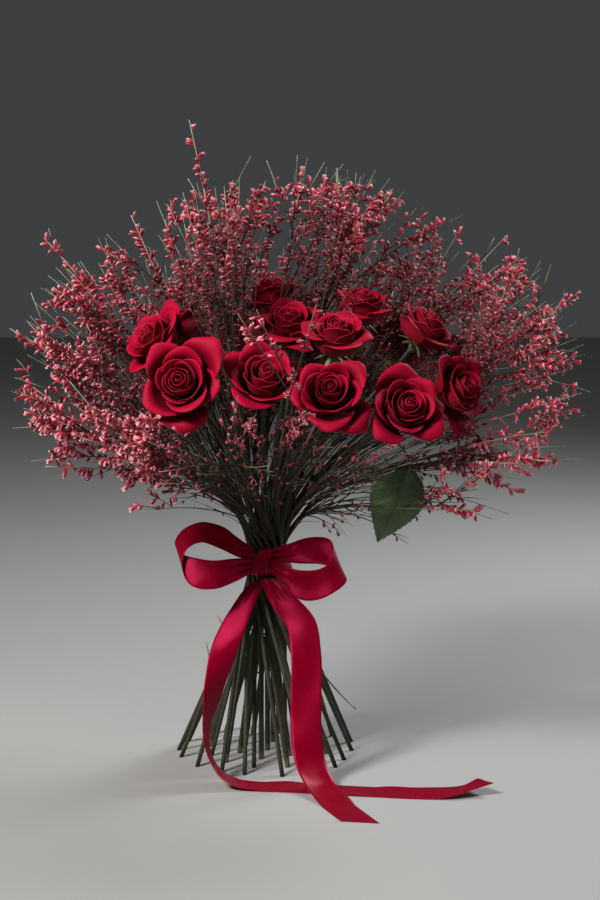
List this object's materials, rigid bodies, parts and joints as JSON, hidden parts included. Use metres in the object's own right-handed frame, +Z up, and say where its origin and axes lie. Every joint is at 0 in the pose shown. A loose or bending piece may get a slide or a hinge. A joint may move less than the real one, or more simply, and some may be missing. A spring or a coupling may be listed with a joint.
{
  "type": "bouquet",
  "caption": "Standing hand-tied spiral bouquet of red roses and pink-red broom sprays, bound with a satin ribbon bow whose long tails lie on the table.",
  "frame": {"origin": "centre of the cut end of the middle rose stem, on the table", "axes": "+Z up along the middle stem, -Y towards the front with the bow, +X to the right seen from the front"},
  "size_m": [0.5609, 0.4652, 0.6386],
  "materials": {
    "rose_petal": "matt, velvety deep red, lighter at the rims",
    "rose_stem": "dark green with brown patches, satin",
    "broom": "grey-green twigs with pink-red dyed florets, matt",
    "satin": "double-faced satin ribbon, soft sheen",
    "twine": "matt jute"
  },
  "bodies": {
    "root": {"bloom_01": "rose_petal", "bloom_02": "rose_petal", "bloom_03": "rose_petal", "bloom_04": "rose_petal", "bloom_05": "rose_petal", "bloom_06": "rose_petal", "bloom_07": "rose_petal", "bloom_08": "rose_petal", "bloom_09": "rose_petal", "bloom_10": "rose_petal", "bloom_11": "rose_petal", "bloom_12": "rose_petal", "bloom_13": "rose_petal", "bloom_14": "rose_petal", "bloom_15": "rose_petal", "rose_stem_01": "rose_stem", "rose_stem_02": "rose_stem", "rose_stem_03": "rose_stem", "rose_stem_04": "rose_stem", "rose_stem_05": "rose_stem", "rose_stem_06": "rose_stem", "rose_stem_07": "rose_stem", "rose_stem_08": "rose_stem", "rose_stem_09": "rose_stem", "rose_stem_10": "rose_stem", "rose_stem_11": "rose_stem", "rose_stem_12": "rose_stem", "rose_stem_13": "rose_stem", "rose_stem_14": "rose_stem", "rose_stem_15": "rose_stem", "spray_01": "broom", "spray_02": "broom", "spray_03": "broom", "spray_04": "broom", "spray_05": "broom", "spray_06": "broom", "spray_07": "broom", "spray_08": "broom", "spray_09": "broom", "spray_10": "broom", "spray_11": "broom", "spray_12": "broom", "spray_13": "broom", "spray_14": "broom", "spray_15": "broom", "spray_16": "broom", "spray_17": "broom", "spray_18": "broom", "spray_19": "broom", "spray_20": "broom", "spray_21": "broom", "ribbon_wrap": "satin", "ribbon_knot": "satin", "loop_left": "satin", "loop_right": "satin", "tail_left": "satin", "tail_right": "satin", "binding_twine": "twine"}
  },
  "joints": []
}
